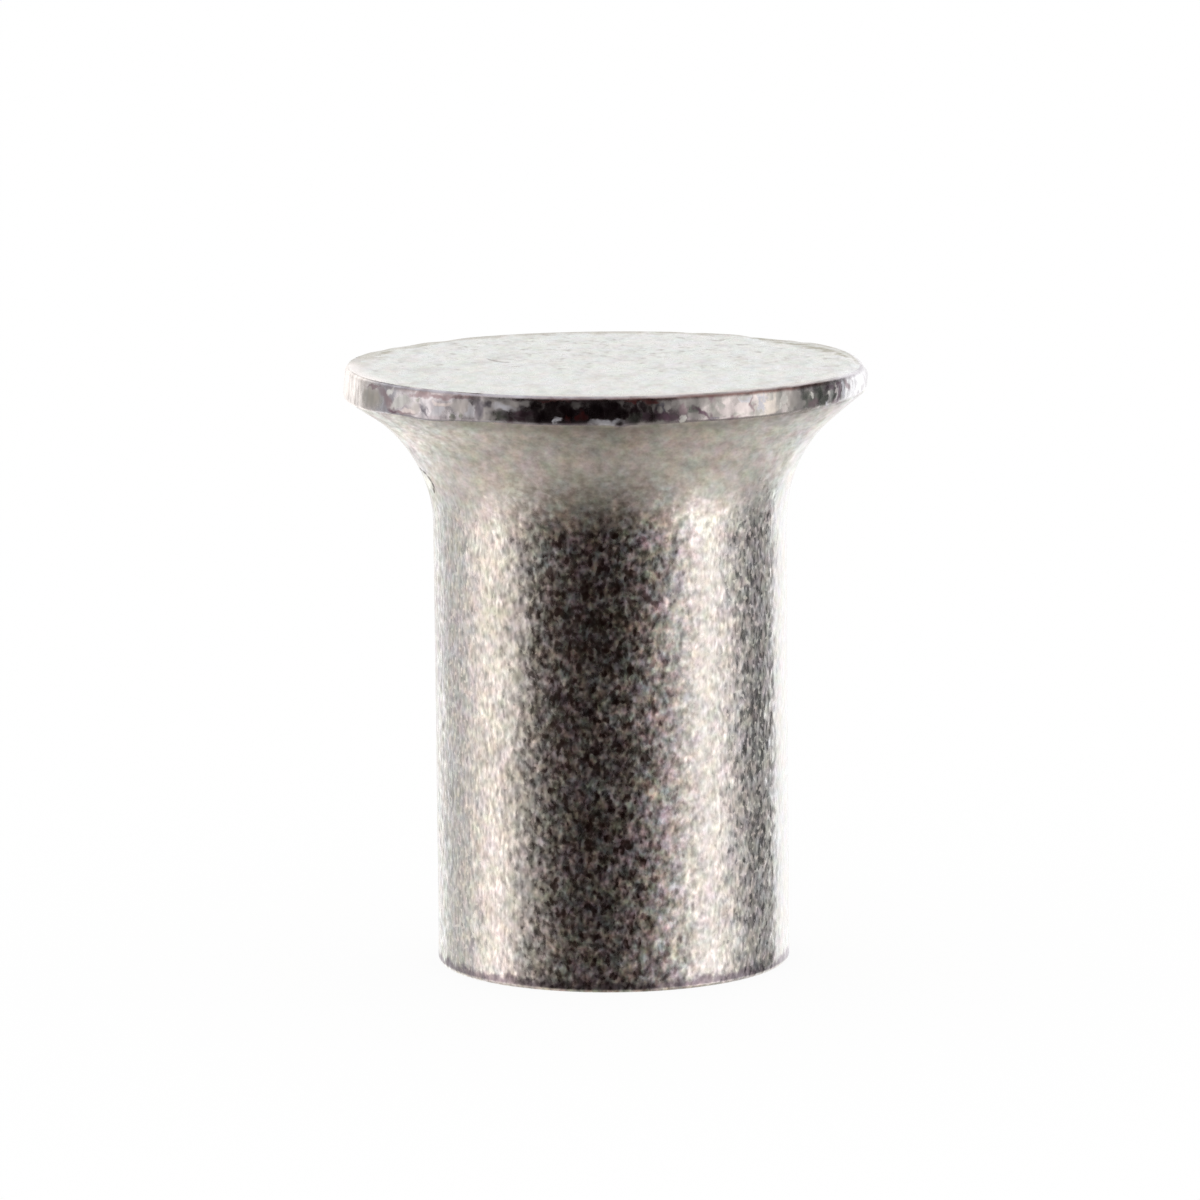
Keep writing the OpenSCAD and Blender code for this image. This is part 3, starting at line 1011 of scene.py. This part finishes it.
def make_world():
    """White for the camera and for plain light, and the surround for what the metal mirrors."""
    world = bpy.data.worlds.new("studio")
    bpy.context.scene.world = world
    world.use_nodes = True
    n = Nodes(world.node_tree)
    x, y, z = n.parts(n.add("TexCoord").outputs["Generated"])
    level = n.ease(z, sine(-75), sine(-12))
    mirrored = n.mix(level, table_light(n, x, y), room_light(n, x, n.product(y, -1.0)))
    mirrored = near_table(n, mirrored, x, y, z)
    overhead = n.ease(z, sine(22), sine(50))
    mirrored = n.mix(overhead, mirrored, WHITE)
    path = n.add("LightPath")
    colour = n.mix(path.outputs["Is Glossy Ray"], WHITE, mirrored)
    shader = n.add("Background", {"Color": colour, "Strength": 1.0})
    n.add("OutputWorld", {"Surface": shader.outputs[0]})


# Half the floor's side in metres, and the share of its white that takes light and shadow.
FLOOR_HALF = 2.0
LIT_SHARE = 0.09


def make_floor():
    """A white sweep: the camera sees it white, less a part of the rivet's shadow."""
    mesh = bpy.data.meshes.new("floor")
    corners = [(-1, -1), (1, -1), (1, 1), (-1, 1)]
    mesh.from_pydata([(x * FLOOR_HALF, y * FLOOR_HALF, 0) for x, y in corners], [],
                     [(0, 1, 2, 3)])
    floor = bpy.data.objects.new("floor", mesh)
    bpy.context.scene.collection.objects.link(floor)
    floor.visible_glossy = False
    material, n = new_material("floor_white")
    diffuse = n.add("BsdfDiffuse", {"Color": (LIT_SHARE, LIT_SHARE, LIT_SHARE)})
    seen = n.add("LightPath").outputs["Is Camera Ray"]
    glow = n.add("Emission", {"Color": WHITE, "Strength": n.product(seen, 1 - LIT_SHARE)})
    both = n.add("AddShader", {0: diffuse.outputs[0], 1: glow.outputs[0]})
    n.add("OutputMaterial", {"Surface": both.outputs[0]})
    mesh.materials.append(material)


# The photograph's camera, above the horizon and rolled by so many degrees, with a long lens:
# its distance from the aim, and where the picture has the aim, in pixels from its top left.
CAMERA_ELEVATION, CAMERA_ROLL = 9.642, 0.505
CAMERA_DISTANCE = 106.5 * MM
AIM = Vector((0, 0, 4.5)) * MM
AIM_PX = (611.4, 662.93)
FRAME_PX = 1200
PX_PER_MM = 66.469


def camera_target(right, up, roll):
    """The point that the picture's middle shows, once the roll is undone."""
    across = (FRAME_PX / 2 - AIM_PX[0]) / PX_PER_MM
    above = (AIM_PX[1] - FRAME_PX / 2) / PX_PER_MM
    dx = across * math.cos(roll) + above * math.sin(roll)
    dy = -across * math.sin(roll) + above * math.cos(roll)
    return AIM + (right * dx + up * dy) * MM


def camera_matrix():
    elevation, roll = math.radians(CAMERA_ELEVATION), math.radians(CAMERA_ROLL)
    back = Vector((0, -math.cos(elevation), math.sin(elevation)))
    right = Vector((1, 0, 0))
    up = back.cross(right)
    place = AIM + back * CAMERA_DISTANCE
    view_back = (place - camera_target(right, up, roll)).normalized()
    view_right = up.cross(view_back).normalized()
    view_up = view_back.cross(view_right)
    turned_right = view_right * math.cos(roll) - view_up * math.sin(roll)
    turned_up = view_back.cross(turned_right)
    rows = zip(turned_right, turned_up, view_back, place)
    return Matrix([*rows, (0, 0, 0, 1)])


def make_camera():
    camera = bpy.data.cameras.new("camera")
    camera.sensor_width = 36
    camera.lens = PX_PER_MM * CAMERA_DISTANCE / MM / FRAME_PX * camera.sensor_width
    camera.clip_start = 0.005
    camera.clip_end = 10
    holder = bpy.data.objects.new("camera", camera)
    holder.matrix_world = camera_matrix()
    bpy.context.scene.collection.objects.link(holder)
    bpy.context.scene.camera = holder


# -------------------------------------------------------------------- the part

def make_rivet():
    piece = bpy.data.objects.new("rivet_body", rivet_mesh())
    bpy.context.scene.collection.objects.link(piece)
    for material in (head_face(), rim_steel(), plated_skin(), bore_steel()):
        piece.data.materials.append(material)
    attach(piece, "root")
    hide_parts(NODE)


make_rivet()
make_floor()
make_world()
make_camera()
bpy.context.scene.view_settings.view_transform = "Standard"
